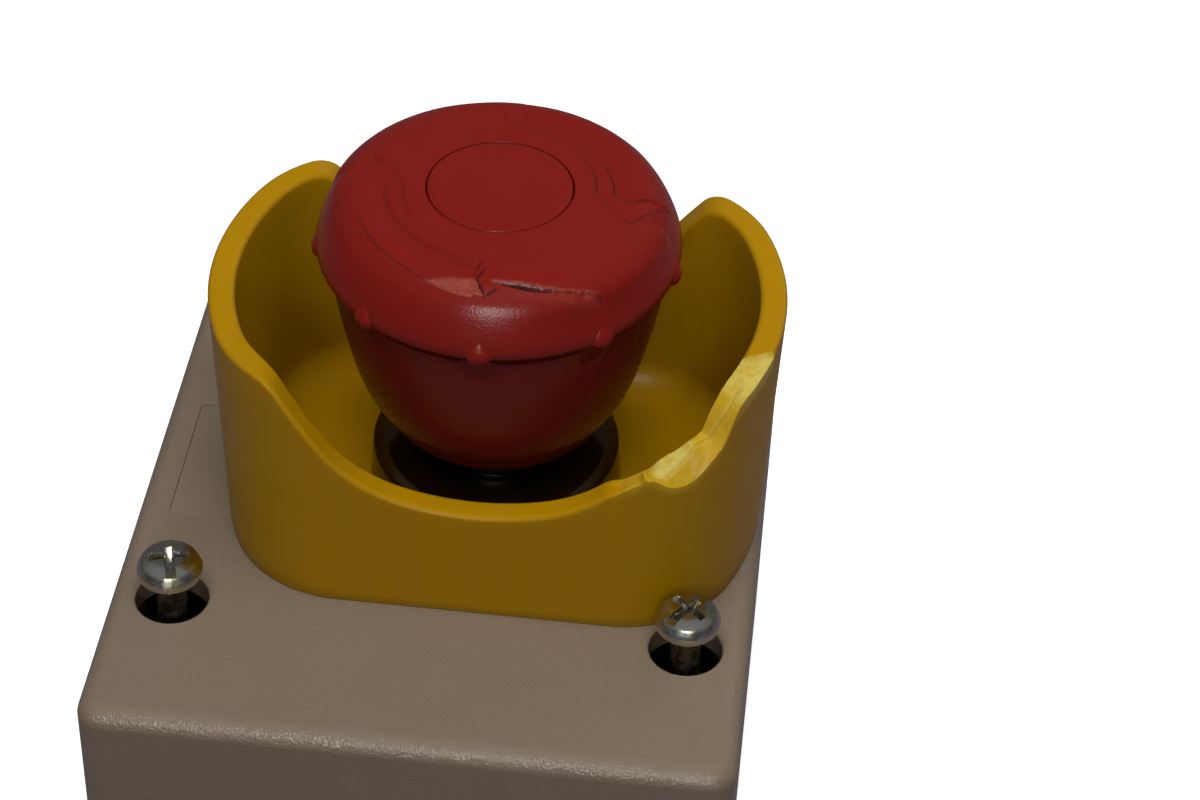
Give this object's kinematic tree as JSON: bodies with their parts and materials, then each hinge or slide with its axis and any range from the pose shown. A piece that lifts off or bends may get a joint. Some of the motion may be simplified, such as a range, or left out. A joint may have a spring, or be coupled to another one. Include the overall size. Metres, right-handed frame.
{
  "type": "emergency stop button station",
  "caption": "Boxed emergency stop: red twist-release mushroom head in a yellow guard shroud with side horns, on a beige two-part enclosure with a cable gland.",
  "frame": {"origin": "centre of the enclosure's flat back face, which is the wall mounting plane", "axes": "+Z points out of the wall towards the operator, +X is the operator's right, +Y is towards the cable gland"},
  "size_m": [0.0726, 0.1037, 0.1003],
  "materials": {
    "enclosure_plastic": "fine spark-eroded texture, warm grey-beige",
    "yellow_plastic": "fine satin texture, signal yellow",
    "red_plastic": "fine satin texture, signal red",
    "black_plastic": "satin",
    "gloss_black_plastic": "polished",
    "natural_plastic": "natural",
    "blue_plastic": "satin",
    "grey_plastic": "satin",
    "seal_rubber": "matt",
    "zinc_steel": "bright zinc plated",
    "spring_steel": "drawn wire",
    "brass": "stamped"
  },
  "bodies": {
    "root": {"enclosure_base": "enclosure_plastic", "enclosure_lid": "enclosure_plastic", "lid_gasket": "seal_rubber", "legend_plate": "enclosure_plastic", "screw_inserts": "brass", "screw_retainers": "seal_rubber", "guard_shroud": "yellow_plastic", "operator_gasket": "seal_rubber", "operator_housing": "black_plastic", "bezel_ring": "gloss_black_plastic", "stem_seal": "seal_rubber", "lock_nut": "zinc_steel", "latch_clip": "spring_steel", "contact_holder": "black_plastic", "block_body_left": "black_plastic", "block_body_right": "black_plastic", "block_cover_left": "natural_plastic", "block_cover_right": "natural_plastic", "fixed_contacts": "brass", "terminal_screws": "zinc_steel", "terminal_clamps": "zinc_steel", "gland_body": "grey_plastic", "gland_washer": "seal_rubber", "gland_lock_nut": "grey_plastic", "gland_seal": "seal_rubber", "gland_dome_nut": "grey_plastic"},
    "lid_screws": {"lid_screws": "zinc_steel"},
    "pusher": {"pusher": "natural_plastic", "pusher_foot": "natural_plastic", "return_spring": "spring_steel"},
    "head": {"mushroom_cap": "red_plastic", "cap_plug": "red_plastic", "cap_screw": "zinc_steel", "mushroom_skirt": "red_plastic", "head_stem": "black_plastic", "cross_pin": "spring_steel"},
    "contact_left": {"contact_plunger_left": "red_plastic", "contact_bridge_left": "brass", "contact_spring_left": "spring_steel"},
    "contact_right": {"contact_plunger_right": "red_plastic", "contact_bridge_right": "brass", "contact_spring_right": "spring_steel"},
    "holder_lever": {"holder_lever": "blue_plastic"}
  },
  "joints": [
    {"name": "press", "type": "slide", "parent": "root", "child": "pusher", "axis": [0, 0, -1], "range_m": [0, 0.0045], "deforming": ["return_spring"]},
    {"name": "twist_release", "type": "hinge", "parent": "pusher", "child": "head", "pos_m": [0.0046, 0, 0.1], "axis": [0, 0, -1], "range_deg": [0, 35]},
    {"name": "contact_left_travel", "type": "slide", "parent": "root", "child": "contact_left", "axis": [0, 0, -1], "range_m": [0, 0.0045], "deforming": ["contact_spring_left"]},
    {"name": "contact_right_travel", "type": "slide", "parent": "root", "child": "contact_right", "axis": [0, 0, -1], "range_m": [0, 0.0045], "deforming": ["contact_spring_right"]},
    {"name": "screws_drive_in", "type": "slide", "parent": "root", "child": "lid_screws", "axis": [0, 0, -1], "range_m": [0, 0.0088]},
    {"name": "holder_lever_swing", "type": "hinge", "parent": "root", "child": "holder_lever", "pos_m": [0.0136, -0.0176, 0.049], "axis": [0, 0, 1], "range_deg": [0, 30]}
  ],
  "couplings": [
    {"joint": "contact_left_travel", "follows": "press", "ratio": 1},
    {"joint": "contact_right_travel", "follows": "press", "ratio": 1}
  ]
}
